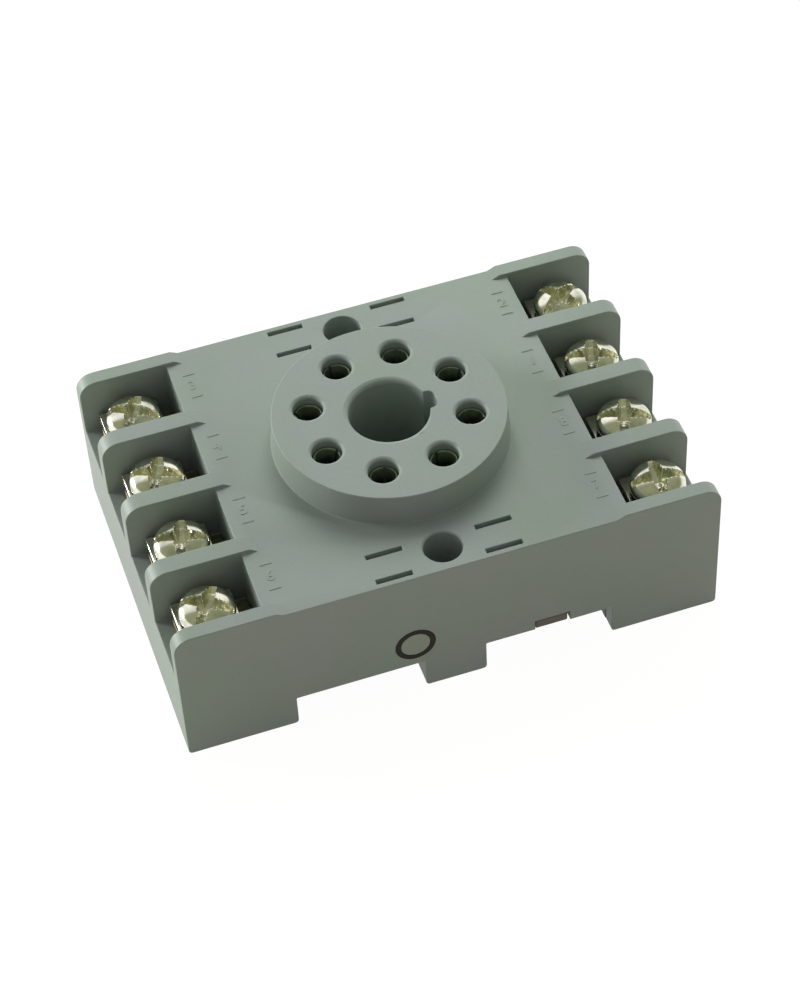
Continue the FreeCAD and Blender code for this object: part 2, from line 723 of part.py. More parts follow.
def terminal_screw(count):
    """Nickel-plated terminal screw: domed head with a cross recess, and a threaded shank."""
    side, row, _ = terminal(count)
    body = new_body(f"terminal_screw_{count}")
    section = new_sketch(body, "screw_section", "XZ_Plane")
    crown = "thread_length + head_height"
    outline(section, [
        ("0", "0"), ("thread / 2", "0"), ("thread / 2", "thread_length"),
        ("head_diameter / 2", "thread_length"), ("head_diameter / 2", "thread_length + head_rim"),
        ("head_flat", crown), ("0", crown),
    ])
    revolve(body, "screw_turning", section)
    recess = new_sketch(body, "recess_outline", "XY_Plane", crown)
    reach = "recess_length / 2"
    arm = "recess_width / 2"
    outline(recess, [
        (reach, f"-({arm})"), (reach, arm), (arm, arm), (arm, reach), (f"-({arm})", reach), (f"-({arm})", arm),
        (f"-({reach})", arm), (f"-({reach})", f"-({arm})"), (f"-({arm})", f"-({arm})"),
        (f"-({arm})", f"-({reach})"), (arm, f"-({reach})"), (arm, f"-({arm})"),
    ])
    pocket(body, "cross_recess", recess, "recess_depth")
    body.Placement.Rotation = FreeCAD.Rotation(FreeCAD.Vector(0, 0, 1), SCREW_TURNS[count - 1])
    bind(body, "Placement.Base.x", f"{side} * screw_spot")
    bind(body, "Placement.Base.y", f"{row} * bay_pitch")
    bind(body, "Placement.Base.z", "point_height")
    return body


def clamp_plate(count):
    """Captive clamp plate under the screw's head, with two wings that keep it square in its bay."""
    side, row, _ = terminal(count)
    body = new_body(f"clamp_plate_{count}")
    section = new_sketch(body, "clamp_section", "YZ_Plane")
    wing = "(clamp_half - clamp_wing)"
    outline(section, [
        ("-clamp_half", "-clamp_wing_depth"), (f"-{wing}", "-clamp_wing_depth"), (f"-{wing}", "0"),
        (wing, "0"), (wing, "-clamp_wing_depth"), ("clamp_half", "-clamp_wing_depth"),
        ("clamp_half", "clamp_thickness"), ("-clamp_half", "clamp_thickness"),
    ])
    pad(body, "clamp_saddle", section, "clamp_length", both_ways=True)
    hole = new_sketch(body, "clamp_hole_outline", "XY_Plane", "clamp_thickness")
    circle(hole, "0", "0", "tap_radius")
    pocket(body, "clamp_hole", hole, "clamp_thickness")
    bends = edges_where(body, lambda spot, way: abs(way.x) > MOSTLY
                        and spot.z > number("clamp_thickness") - NEAR)
    dress(body, "clamp_bends", "Chamfer", bends, "clamp_bevel")
    bind(body, "Placement.Base.x", f"{side} * screw_spot")
    bind(body, "Placement.Base.y", f"{row} * bay_pitch")
    bind(body, "Placement.Base.z", "clamp_under")
    return body


def contact_sleeve(count):
    """Tubular contact of one pin, folded from bronze sheet in eight flats and slit twice, so that it springs."""
    _, _, angle = terminal(count)
    body = new_body(f"contact_sleeve_{count}")
    fold = new_sketch(body, "sleeve_section", "XY_Plane")
    octagon(fold, "sleeve_corner")
    octagon(fold, f"(sleeve_corner - sleeve_wall / cos({FULL_TURN / PIN_COUNT / 2}))")
    pad(body, "sleeve_fold", fold, "sleeve_height")
    slit = new_sketch(body, "sleeve_slit_outline", "XY_Plane", "sleeve_height")
    rectangle(slit, "-pin_hole / 2", "pin_hole / 2", "-sleeve_slot / 2", "sleeve_slot / 2")
    pocket(body, "sleeve_slit", slit, "sleeve_height - sleeve_neck")
    body.Placement.Rotation = FreeCAD.Rotation(FreeCAD.Vector(0, 0, 1), angle)
    bind(body, "Placement.Base.x", f"pin_circle / 2 * cos({angle})")
    bind(body, "Placement.Base.y", f"pin_circle / 2 * sin({angle})")
    bind(body, "Placement.Base.z", "block_bottom")
    return body


def part_object(kind, name, sizes, spot=None):
    """A primitive whose sizes, and place if given, are bound to the sheet."""
    thing = document.addObject("Part::" + kind, name)
    for key, rule in sizes.items():
        bind(thing, key, rule)
    if spot:
        for axis, rule in zip("xyz", spot):
            bind(thing, f"Placement.Base.{axis}", rule)
    return thing


def extrusion(name, sketch, length, both_ways=False):
    thing = document.addObject("Part::Extrusion", name)
    thing.Base = sketch
    thing.DirMode = "Normal"
    thing.Solid = True
    thing.Symmetric = both_ways
    bind(thing, "LengthFwd", length)
    sketch.Visibility = False
    return thing


def terminal_strip(count):
    """Plated brass strip: tapped plate in the bay, and an arm stepped down to the foot of its contact.

    The plan of the strip is cut through a sheet that is bent along lines parallel to Y.
    """
    side, row, angle = terminal(count)
    name = f"terminal_strip_{count}"
    pin_x = f"pin_circle / 2 * cos({angle})"
    pin_y = f"pin_circle / 2 * sin({angle})"
    middle = f"{row} * bay_pitch"
    inner = "(deck_half + arm_clearance)"
    outer = "(body_half - strip_inset)"
    left = f"{side} * {inner}" if side > 0 else f"{side} * {outer}"
    plate = part_object("Box", name + "_plate", {
        "Length": f"{outer} - {inner}", "Width": "strip_width", "Height": "deck_height",
    }, (left, f"{middle} - strip_width / 2", "0"))

    plan = loose_sketch(name + "_arm_plan")
    reach = f"{side} * (deck_half + 2 * arm_clearance)"
    knee = f"{side} * (hall_half - 2 * arm_clearance)"
    half = "arm_width / 2"
    outline(plan, [
        (reach, f"{middle} - {half}"), (reach, f"{middle} + {half}"), (knee, f"{middle} + {half}"),
        (pin_x, f"{pin_y} + {half}"), (pin_x, f"{pin_y} - {half}"), (knee, f"{middle} - {half}"),
    ])
    arm = extrusion(name + "_arm", plan, "deck_height")
    tab = part_object("Box", name + "_tab", {
        "Length": "2 * tab_half", "Width": "2 * tab_half", "Height": "deck_height",
    }, (
        f"(pin_circle / 2 - tab_half) * cos({angle}) + tab_half * sin({angle})",
        f"(pin_circle / 2 - tab_half) * sin({angle}) - tab_half * cos({angle})", "0",
    ))
    tab.Placement.Rotation = FreeCAD.Rotation(FreeCAD.Vector(0, 0, 1), angle)
    shadow = document.addObject("Part::MultiFuse", name + "_plan")
    shadow.Shapes = [plate, arm, tab]

    bend = loose_sketch(name + "_bend_section")
    bend.Placement.Rotation = FreeCAD.Rotation(FreeCAD.Vector(1, 0, 0), 90)
    high = "(hall_half - arm_lead)"
    low = f"({high} - (floor_height - arm_under) / tan({ARM_SLOPE}))"
    lead = f"strip_thickness * tan({ARM_SLOPE / 2})"
    outline(bend, [
        (f"{side} * {outer}", "floor_height"), (f"{side} * {outer}", "strip_top"),
        (f"{side} * ({high} - {lead})", "strip_top"), (f"{side} * ({low} - {lead})", "block_bottom"),
        ("0", "block_bottom"), ("0", "arm_under"),
        (f"{side} * {low}", "arm_under"), (f"{side} * {high}", "floor_height"),
    ])
    stepped = extrusion(name + "_sheet", bend, "2 * width_half", both_ways=True)
    blank = document.addObject("Part::MultiCommon", name + "_blank")
    blank.Shapes = [shadow, stepped]

    tapped = part_object("Cylinder", name + "_tapped_hole", {
        "Radius": "tap_radius", "Height": "deck_height",
    }, (f"{side} * screw_spot", middle, "0"))
    strip = document.addObject("Part::Cut", name)
    strip.Label = name
    strip.Base = blank
    strip.Tool = tapped
    return strip


def check_document():
    """Stop if any object failed to compute, or if a cut took nothing away."""
    document.recompute()
    for thing in document.Objects:
        if "Invalid" in thing.State or "Error" in thing.State:
            raise RuntimeError(f"{thing.Label} failed")
        if thing.isDerivedFrom("PartDesign::Pocket") and thing.Shape.Volume >= thing.BaseFeature.Shape.Volume:
            raise RuntimeError(f"{thing.Label} cuts nothing")


def write_parts(pieces):
    for piece in pieces:
        if piece.Shape.isNull() or not piece.Shape.isValid():
            raise RuntimeError(f"{piece.Label} has no valid shape")
    os.makedirs("parts", exist_ok=True)
    for piece in pieces:
        piece.Shape.exportStep(f"parts/{piece.Label}.step")


fill_sheet()
pieces = [housing(), base_cover(), rail_latch(), latch_spring()]
for count in range(1, PIN_COUNT + 1):
    pieces.append(terminal_strip(count))
    pieces.append(contact_sleeve(count))
    pieces.append(clamp_plate(count))
    pieces.append(terminal_screw(count))
check_document()
write_parts(pieces)
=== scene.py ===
import bmesh
import bpy
import math
import numpy as np
from mathutils import Matrix, Vector


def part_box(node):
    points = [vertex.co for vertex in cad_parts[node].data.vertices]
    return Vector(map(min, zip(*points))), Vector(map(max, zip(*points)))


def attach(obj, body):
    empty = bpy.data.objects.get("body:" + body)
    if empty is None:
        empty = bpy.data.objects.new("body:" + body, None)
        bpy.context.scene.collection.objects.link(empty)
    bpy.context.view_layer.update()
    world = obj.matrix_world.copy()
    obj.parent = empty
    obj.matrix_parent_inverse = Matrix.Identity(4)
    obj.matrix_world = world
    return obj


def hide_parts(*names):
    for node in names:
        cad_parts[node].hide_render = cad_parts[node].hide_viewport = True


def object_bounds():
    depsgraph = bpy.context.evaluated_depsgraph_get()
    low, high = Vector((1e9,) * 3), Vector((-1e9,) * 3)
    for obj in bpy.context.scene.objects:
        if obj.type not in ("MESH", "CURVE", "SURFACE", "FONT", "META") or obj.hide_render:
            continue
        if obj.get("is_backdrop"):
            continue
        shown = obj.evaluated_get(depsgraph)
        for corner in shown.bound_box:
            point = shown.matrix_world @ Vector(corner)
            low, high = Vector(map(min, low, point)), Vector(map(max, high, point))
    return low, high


# An eight-pole relay socket with screw terminals, dressed in the order in which it is put together.
# Sizes are in millimetres, and MM turns them into metres.

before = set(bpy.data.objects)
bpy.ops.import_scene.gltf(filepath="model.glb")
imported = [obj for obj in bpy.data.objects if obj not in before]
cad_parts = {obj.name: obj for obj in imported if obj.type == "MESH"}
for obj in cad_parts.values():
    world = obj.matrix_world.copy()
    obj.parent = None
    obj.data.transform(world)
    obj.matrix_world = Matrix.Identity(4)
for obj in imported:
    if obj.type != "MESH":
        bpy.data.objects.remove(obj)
cad_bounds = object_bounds()
MM = 0.001

# Housing
# One injection moulding in glass-filled grey thermoplastic: deck, boss, barriers and walls. Its corners have
# the small round that the tool leaves, and its faces a fine matt grain with greener and greyer patches.
HOUSING_GREEN = "#8B998C"
HOUSING_GREY = "#919A94"
PATCH = 11.0
GRAIN = 0.3
DECK = 18.0
WALL_INSIDE = 18.0
FOOT_HEIGHT = 3.7
KEY_HOLE = 4.4
KEYWAY_HALF = 1.5
KEYWAY_START = 5.0
KEYWAY_END = 6.0
KEYWAY_ANGLE = 0.35
PIN_HOLE = 1.65
PIN_CIRCLE = 17.45
PIN_TURN = math.pi / 4
PANEL_HOLE = 2.1
PANEL_HOLE_SPOT = 16.8
HOUSING_ROUND = 0.1
FOOT_ROUND = 0.42
KEYWAY_ROUND = 0.75
KEY_HOLE_ROUND = 0.55
FADE_ANGLE = 0.7
PIN_HOLE_ROUND = 0.36
PANEL_HOLE_ROUND = 0.22
WIDEST_ROUND = 1.0
SHARP = 40.0
FLAT = 1.0
SMOOTH = 30.0
WELD = 0.002
NEAR = 0.1
MOSTLY = 0.9


def linear(code):
    """Linear colour of an sRGB hex value: a share is divided by 12.92 near black and else raised to 2.4."""
    shares = [int(code[place:place + 2], 16) / 255 for place in (1, 3, 5)]
    return [share / 12.92 if share <= 0.04045 else ((share + 0.055) / 1.055) ** 2.4
            for share in shares] + [1.0]


def add(tree, kind, values=None, links=None, **settings):
    """Adds a shader node: settings are its properties, values and links go on its sockets."""
    made = tree.nodes.new("ShaderNode" + kind)
    for name, value in settings.items():
        setattr(made, name, value)
    for socket, value in (values or {}).items():
        made.inputs[socket].default_value = value
    for socket, source in (links or {}).items():
        tree.links.new(source, made.inputs[socket])
    return made


def new_material(name):
    material = bpy.data.materials.new(name)
    material.use_nodes = True
    material.node_tree.nodes.clear()
    return material


def moulded_plastic(name, first, second, roughness, grain_depth, gleam=0.5):
    """Matt moulded plastic: two close colours in soft patches, and a grain that is coarser than real to show.
    A rough etched face sends back less than the plain gleam of 0.5."""
    material = new_material(name)
    tree = material.node_tree
    place = add(tree, "TexCoord").outputs["Object"]
    patches = add(tree, "TexNoise", {"Scale": 1 / (PATCH * MM), "Detail": 2.0, "Roughness": 0.55},
                  {"Vector": place})
    spread = add(tree, "MapRange", {"From Min": 0.35, "From Max": 0.65}, {"Value": patches.outputs["Fac"]})
    colour = add(tree, "Mix", {6: linear(first), 7: linear(second)}, {0: spread.outputs["Result"]},
                 data_type="RGBA")
    grain = add(tree, "TexNoise", {"Scale": 1 / (GRAIN * MM), "Detail": 3.0, "Roughness": 0.6},
                {"Vector": place})
    speck = add(tree, "MapRange", {"From Min": 0.3, "From Max": 0.7, "To Min": 0.965, "To Max": 1.02},
                {"Value": grain.outputs["Fac"]})
    toned = add(tree, "VectorMath", links={0: colour.outputs[2], 1: speck.outputs["Result"]},
                operation="MULTIPLY")
    gloss = add(tree, "MapRange", {"To Min": roughness - 0.05, "To Max": roughness + 0.07},
                {"Value": patches.outputs["Fac"]})
    bump = add(tree, "Bump", {"Strength": 0.5, "Distance": grain_depth * MM},
               {"Height": grain.outputs["Fac"]})
    plastic = add(tree, "BsdfPrincipled", {"IOR": 1.5, "Specular IOR Level": gleam},
                  {"Base Color": toned.outputs["Vector"], "Roughness": gloss.outputs["Result"],
                   "Normal": bump.outputs["Normal"]})
    add(tree, "OutputMaterial", links={"Surface": plastic.outputs["BSDF"]})
    return material


def show(name, mesh, material, body):
    """Puts a finished mesh in the scene, with its material, riding on a body."""
    piece = bpy.data.objects.new(name, mesh)
    bpy.context.scene.collection.objects.link(piece)
    mesh.materials.clear()
    mesh.materials.append(material)
    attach(piece, body)
    return piece


def smooth_by_angle(mesh, degrees):
    mesh.shade_smooth()
    mesh.set_sharp_from_angle(angle=math.radians(degrees))


def softened(node, material, body, width, steps=2, other_width=None):
    """A joined copy of a moulded or pressed piece: its flat faces are made whole and its sharp edges rounded.
    other_width tells, from an edge's middle and direction, the wider rounding of that edge, or 0 for none."""
    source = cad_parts[node].data
    places = np.empty(len(source.vertices) * 3)
    source.vertices.foreach_get("co", places)
    corners = np.empty(len(source.loops), dtype=np.int64)
    source.loops.foreach_get("vertex_index", corners)
    cells = np.round(places.reshape(-1, 3) / (WELD * MM)).astype(np.int64)
    grid, index = np.unique(cells, axis=0, return_inverse=True)
    faces = index.reshape(-1)[corners].reshape(-1, 3)
    whole = (faces[:, 0] != faces[:, 1]) & (faces[:, 1] != faces[:, 2]) & (faces[:, 2] != faces[:, 0])
    mesh = bpy.data.meshes.new(node + "_soft")
    mesh.from_pydata((grid * WELD * MM).tolist(), [], faces[whole].tolist())
    form = bmesh.new()
    form.from_mesh(mesh)
    bmesh.ops.dissolve_limit(form, angle_limit=math.radians(FLAT), verts=form.verts, edges=form.edges)
    weight = form.edges.layers.float.new("bevel_weight_edge")
    for edge in form.edges:
        if other_width and edge.calc_face_angle(0) > math.radians(SHARP):
            one, two = (corner.co / MM for corner in edge.verts)
            edge[weight] = other_width((one + two) / 2, (two - one).normalized()) / WIDEST_ROUND
    form.to_mesh(mesh)
    form.free()
    smooth_by_angle(mesh, SMOOTH)
    piece = show(node + "_soft", mesh, material, body)
    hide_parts(node)
    if other_width:
        wide_rounding = piece.modifiers.new("wide_rounding", "BEVEL")
        wide_rounding.width = WIDEST_ROUND * MM
        wide_rounding.segments = 3
        wide_rounding.limit_method = "WEIGHT"
        wide_rounding.use_clamp_overlap = False
    rounding = piece.modifiers.new("rounding", "BEVEL")
    rounding.width = width * MM
    rounding.segments = steps
    rounding.limit_method = "ANGLE"
    rounding.angle_limit = math.radians(SHARP)
    rounding.use_clamp_overlap = False
    rounding.harden_normals = True
    return piece


def housing_round(middle, way):
    """Wider roundings: the corners of the feet and of the openings between them, the corners of the key way,
    and the rims of the pin holes, of the panel screw holes and of the key hole. The last one fades out
    towards the key way, over angles in radians."""
    between_feet = abs(middle.z - FOOT_HEIGHT) < NEAR and abs(middle.y) > WALL_INSIDE
    if abs(way.y) > MOSTLY and (middle.z < NEAR or between_feet):
        return FOOT_ROUND
    if abs(way.z) > MOSTLY and abs(middle.y) < KEYWAY_HALF and KEYWAY_START < middle.x < KEYWAY_END:
        return KEYWAY_ROUND
    reach = math.hypot(middle.x, middle.y)
    angle = math.atan2(middle.y, middle.x)
    turn = (angle + math.pi) % PIN_TURN - PIN_TURN / 2
    off_pin = math.hypot(reach * math.cos(turn) - PIN_CIRCLE / 2, reach * math.sin(turn))
    if middle.z > boss_top - NEAR and off_pin < PIN_HOLE + NEAR:
        return PIN_HOLE_ROUND
    if middle.z > boss_top - NEAR and reach < KEY_HOLE + NEAR:
        share = min(max((abs(angle) - KEYWAY_ANGLE) / FADE_ANGLE, 0), 1)
        return HOUSING_ROUND + (KEY_HOLE_ROUND - HOUSING_ROUND) * share
    off_panel_hole = math.hypot(middle.x, abs(middle.y) - PANEL_HOLE_SPOT)
    if abs(middle.z - DECK) < NEAR and off_panel_hole < PANEL_HOLE + NEAR:
        return PANEL_HOLE_ROUND
    return 0


boss_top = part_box("housing")[1][2] / MM
grey_plastic = moulded_plastic("glass_filled_thermoplastic", HOUSING_GREEN, HOUSING_GREY, roughness=0.5,
                               grain_depth=0.012)
softened("housing", grey_plastic, "socket_body", HOUSING_ROUND, other_width=housing_round)

# Moulded marks
# Terminal numbers and short bars stand a few hundredths of a millimetre proud on the deck beside each bay.
# A ring round a pale disc, the mark of an insert in the mould, sits in the front wall. The ring's
# # dark colour is painted shadow, as in a groove.
TERMINALS = range(1, 9)
BAY_PITCH = 9.75
NUMBER_SPOT = 18.0
NUMBER_SIZE = 1.9
NUMBER_RISE = 0.06
BAR_SPOT = 1.75
BAR_LENGTH = 1.3
BAR_WIDTH = 0.22
BAR_ROOT = 0.02
MARK_X = -4.43
MARK_Z = 7.35
MARK_SIDES = 48
RING_RADII = (2.3, 2.22, 1.68, 1.6)
RING_HEIGHTS = (-0.05, 0.06, 0.06, -0.02)
DISC_RADII = (1.66, 1.58, 0.3)
DISC_HEIGHTS = (-0.05, 0.03, 0.03)


def terminal(count):
    """Side of a terminal, its row, counted from the middle in bay pitches, and the angle of its pin."""
    angle = PIN_TURN * (count - 0.5)
    side = 1 if math.cos(angle) > 0 else -1
    row = math.copysign(0.5 if abs(math.sin(angle)) < 0.5 else 1.5, math.sin(angle))
    return side, row, angle


def moulded_number(name, digit, spot):
    """A digit as thin raised strokes, lying on the deck and read from the front."""
    curve = bpy.data.curves.new(name, "FONT")
    curve.body = digit
    curve.size = NUMBER_SIZE * MM
    curve.align_x = "CENTER"
    curve.align_y = "CENTER"
    curve.extrude = NUMBER_RISE / 2 * MM
    curve.bevel_depth = NUMBER_RISE / 3 * MM
    curve.resolution_u = 4
    loose = bpy.data.objects.new(name, curve)
    bpy.context.scene.collection.objects.link(loose)
    shape = loose.evaluated_get(bpy.context.evaluated_depsgraph_get())
    mesh = bpy.data.meshes.new_from_object(shape)
    bpy.data.objects.remove(loose)
    mesh.transform(Matrix.Translation(Vector(spot) * MM))
    return mesh


def mesh_from(name, points, faces, degrees):
    """A mesh of points in millimetres, shaded smooth where its faces meet at less than the angle."""
    mesh = bpy.data.meshes.new(name)
    mesh.from_pydata((np.array(points) * MM).tolist(), [], faces)
    smooth_by_angle(mesh, degrees)
    return mesh


def moulded_bars(name, spot):
    """Two short bars along X, one on each side of a terminal number, as low rows with sloping sides."""
    corners = []
    faces = []
    for place in (-BAR_SPOT, BAR_SPOT):
        faces += [[len(corners) + corner for corner in face] for face in
                  ((4, 5, 6, 7), (0, 1, 5, 4), (1, 2, 6, 5), (2, 3, 7, 6), (3, 0, 4, 7))]
        for shrink, height in ((0, -BAR_ROOT), (NUMBER_RISE / 2, NUMBER_RISE)):
            half = (BAR_LENGTH / 2 - shrink, BAR_WIDTH / 2 - shrink)
            corners += [(spot[0] + x * half[0], spot[1] + place + y * half[1], spot[2] + height)
                        for x, y in ((-1, -1), (1, -1), (1, 1), (-1, 1))]
    return mesh_from(name, corners, faces, SMOOTH)


def grid_faces(rows, columns, closed, start=0):
    """Quads of a grid of points numbered row by row. A closed grid joins its last column to its first."""
    steps = columns if closed else columns - 1
    row, column = np.meshgrid(np.arange(rows - 1), np.arange(steps), indexing="ij")
    after = (column + 1) % columns
    quads = [row * columns + column, row * columns + after,
             (row + 1) * columns + after, (row + 1) * columns + column]
    return start + np.stack(quads, axis=-1).reshape(-1, 4)


def round_mark(name, radii, heights):
    """A profile of radius and height turned about the front wall's normal, closed at the middle."""
    turn = np.linspace(0, 2 * np.pi, MARK_SIDES, endpoint=False)
    radius = np.array(radii)[:, None]
    rise = np.broadcast_to(np.array(heights)[:, None], (len(radii), MARK_SIDES))
    points = np.stack([MARK_X + radius * np.cos(turn), wall_front - rise, MARK_Z + radius * np.sin(turn)],
                      axis=-1).reshape(-1, 3)
    quads = grid_faces(len(radii), MARK_SIDES, True)[:, ::-1].tolist()
    middle = list(range(len(points) - MARK_SIDES, len(points)))
    return mesh_from(name, points, quads + [middle], SMOOTH)


for count in TERMINALS:
    side, row, _ = terminal(count)
    spot = (side * NUMBER_SPOT, row * BAY_PITCH, DECK)
    digit = moulded_number(f"terminal_number_{count}", str(count), spot)
    show(f"terminal_number_{count}", digit, grey_plastic, "socket_body")
    bars = moulded_bars(f"terminal_bars_{count}", spot)
    show(f"terminal_bars_{count}", bars, grey_plastic, "socket_body")

wall_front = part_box("housing")[0][1] / MM
# Painted shadow: the ring is coloured near black to stand for the shade in a groove.
groove_shadow_plastic = moulded_plastic("painted_groove_shadow_ring", "#2C2922", "#37342C", roughness=0.6, grain_depth=0.004,
                               gleam=0.12)
pale_plastic = moulded_plastic("pale_mould_disc", "#8B9683", "#929C8B", roughness=0.35, grain_depth=0.004)
ring = round_mark("round_mark_ring", RING_RADII, RING_HEIGHTS)
show("round_mark_ring", ring, groove_shadow_plastic, "socket_body")
disc = round_mark("round_mark_disc", DISC_RADII, DISC_HEIGHTS)
show("round_mark_disc", disc, pale_plastic, "socket_body")

# Terminal strips
# Blanked and bent brass strips under a nickel plate, dropped into the bays from above. The plate keeps the
# fine lines of the rolled sheet.
STRIP_ROUND = 0.1
DULL_PATCH = 1.6
RUB_LINE = 0.9
RUB_STRETCH = 9.0
UNDER_HEAD_SHADE = "#24251F"
SHADE_FADE = 0.05


def plated_metal(name, colour, tarnish, roughness, scratch, painted_shade_below=None):
    """Nickel plate: a white metal with dull patches, fine rubbed lines and small dents. What lies lower than
    the height given for shade is painted dark, a painted shade under a screw's rim and over its shank."""
    material = new_material(name)
    tree = material.node_tree
    place = add(tree, "TexCoord").outputs["Object"]
    patches = add(tree, "TexNoise", {"Scale": 1 / (DULL_PATCH * MM), "Detail": 3.0}, {"Vector": place})
    spread = add(tree, "MapRange", {"From Min": 0.4, "From Max": 0.7}, {"Value": patches.outputs["Fac"]})
    shade = add(tree, "Mix", {6: linear(colour), 7: linear(tarnish)}, {0: spread.outputs["Result"]},
                data_type="RGBA")
    if painted_shade_below is not None:
        # Painted shade: below the given height the colour fades to near black.
        height = add(tree, "SeparateXYZ", links={0: place}).outputs["Z"]
        depth = add(tree, "MapRange",
                    {"From Min": (painted_shade_below + SHADE_FADE) * MM, "From Max": painted_shade_below * MM},
                    {"Value": height})
        shade = add(tree, "Mix", {7: linear(UNDER_HEAD_SHADE)}, {0: depth.outputs["Result"], 6: shade.outputs[2]},
                    data_type="RGBA")
    stretched = add(tree, "Mapping", {"Scale": (1.0, RUB_STRETCH, RUB_STRETCH)}, {"Vector": place})
    lines = add(tree, "TexNoise", {"Scale": 1 / (RUB_LINE * MM), "Detail": 2.0},
                {"Vector": stretched.outputs["Vector"]})
    gloss = add(tree, "MapRange",
                {"From Min": 0.35, "From Max": 0.7, "To Min": roughness, "To Max": roughness + 0.14},
                {"Value": patches.outputs["Fac"]})
    bump = add(tree, "Bump", {"Strength": 0.35, "Distance": scratch * MM}, {"Height": lines.outputs["Fac"]})
    metal = add(tree, "BsdfPrincipled", {"Metallic": 1.0},
                {"Base Color": shade.outputs[2], "Roughness": gloss.outputs["Result"],
                 "Normal": bump.outputs["Normal"]})
    add(tree, "OutputMaterial", links={"Surface": metal.outputs["BSDF"]})
    return material


strip_plate = plated_metal("nickel_plated_brass", "#A39C82", "#756E55", roughness=0.28, scratch=0.004)
for count in TERMINALS:
    softened(f"terminal_strip_{count}", strip_plate, "socket_body", STRIP_ROUND, steps=1)

# Clamp plates
# Stamped steel plates, captive under the screw heads, with wings that keep them square in the bays. Their
# nickel plate gives a clean white sheen, a little duller in patches.
CLAMP_ROUND = 0.12
clamp_plate = plated_metal("nickel_plated_steel", "#E6E5DA", "#BFC0B0", roughness=0.16, scratch=0.003)
for count in TERMINALS:
    softened(f"clamp_plate_{count}", clamp_plate, f"clamp_{count}", CLAMP_ROUND)

# Terminal screws
# Cold-headed steel screws with a domed pan head and a wide cross recess, bright nickel plated over rolled
# threads and hollow under the rim. Each one was left turned by a different amount when it was run in.
SCREW_TURNS = (71, 34, 62, 67, 74, 58, 85, 69)
SCREW_SMOOTH = 38.0
HEAD_RADIUS = 3.0
HEAD_RIM = 1.5
HEAD_HEIGHT = 2.7
HEAD_HOLLOW = 0.75
GRID_STEP = 0.075
DOME_FLATNESS = 2.4
DOME_FULLNESS = 1.9
RECESS_HALF = 0.86
RECESS_TAPER = 0.14
RECESS_STEEPNESS = 4.5
RECESS_REACH = (0, 1.2, 2.3, 2.8, 2.95)
RECESS_FLOOR = (1.9, 1.55, 1.0, 0.45, 0)
AXIS_RING = 0.01
UNDERSIDE_RADII = (3.0, 3.0, 2.98, 2.93, 2.85, 2.5, 2.3, 2.2, AXIS_RING)
UNDERSIDE_HEIGHTS = (1.3, 0.9, 0.81, 0.75, 0.73, 0.6, 0.4, 0, 0)
THREAD_RADIUS = 1.75
THREAD_PITCH = 0.6
THREAD_DEPTH = 0.3
THREAD_LENGTH = 7.0
THREAD_TOP = 0.2
THREAD_RUN_IN = 0.6
THREAD_RUN_OUT = 0.9
SHANK_TOP = 0.05
SHANK_SIDES = 28
SHANK_ROWS = 95


def recess_depth(along, across):
    """Depth of one wing of the cross: its floor rises and its sides close in towards the wing's end."""
    floor = np.interp(np.abs(along), RECESS_REACH, RECESS_FLOOR)
    wall = (RECESS_HALF - RECESS_TAPER * np.abs(along) - np.abs(across)) * RECESS_STEEPNESS
    return np.clip(np.minimum(floor, wall), 0, None)


def screw_head():
    """Crown: a square grid bent onto a disc, x = u sqrt(1 - v^2 / 2) and y = v sqrt(1 - u^2 / 2) for u and v
    in head radii, raised by the dome z = rim + (height - rim)(1 - r^flatness)^(1 / fullness) and lowered by
    the cross recess. Then the rim and the hollow underside go on as rings from the disc's own edge."""
    count = round(2 * HEAD_RADIUS / GRID_STEP) + 1
    lines = np.linspace(-HEAD_RADIUS, HEAD_RADIUS, count)
    u, v = np.meshgrid(lines, lines, indexing="ij")
    x = u * np.sqrt(1 - (v / HEAD_RADIUS) ** 2 / 2)
    y = v * np.sqrt(1 - (u / HEAD_RADIUS) ** 2 / 2)
    share = np.clip(np.hypot(x, y) / HEAD_RADIUS, 0, 1)
    rise = np.clip(1 - share ** DOME_FLATNESS, 0, None) ** (1 / DOME_FULLNESS)
    z = HEAD_RIM + (HEAD_HEIGHT - HEAD_RIM) * rise - np.maximum(recess_depth(u, v), recess_depth(v, u))
    crown = np.stack([x, y, z], axis=-1).reshape(-1, 3)
    faces = grid_faces(count, count, False)[:, ::-1]

    edge = np.concatenate([
        np.arange(count - 1) * count, (count - 1) * count + np.arange(count - 1),
        np.arange(count - 1, 0, -1) * count + count - 1, np.arange(count - 1, 0, -1),
    ])
    around = np.arctan2(crown[edge, 1], crown[edge, 0])
    radii = np.array(UNDERSIDE_RADII)[:, None]
    heights = np.broadcast_to(np.array(UNDERSIDE_HEIGHTS)[:, None], (len(radii), len(around)))
    rings = np.stack([radii * np.cos(around), radii * np.sin(around), heights], axis=-1).reshape(-1, 3)
    skirt = grid_faces(len(radii), len(edge), True, len(crown))
    first = len(crown) + np.arange(len(edge))
    joint = np.stack([edge, first, np.roll(first, -1), np.roll(edge, -1)], axis=-1)
    return np.concatenate([crown, rings]), np.concatenate([faces, joint[:, ::-1], skirt[:, ::-1]])


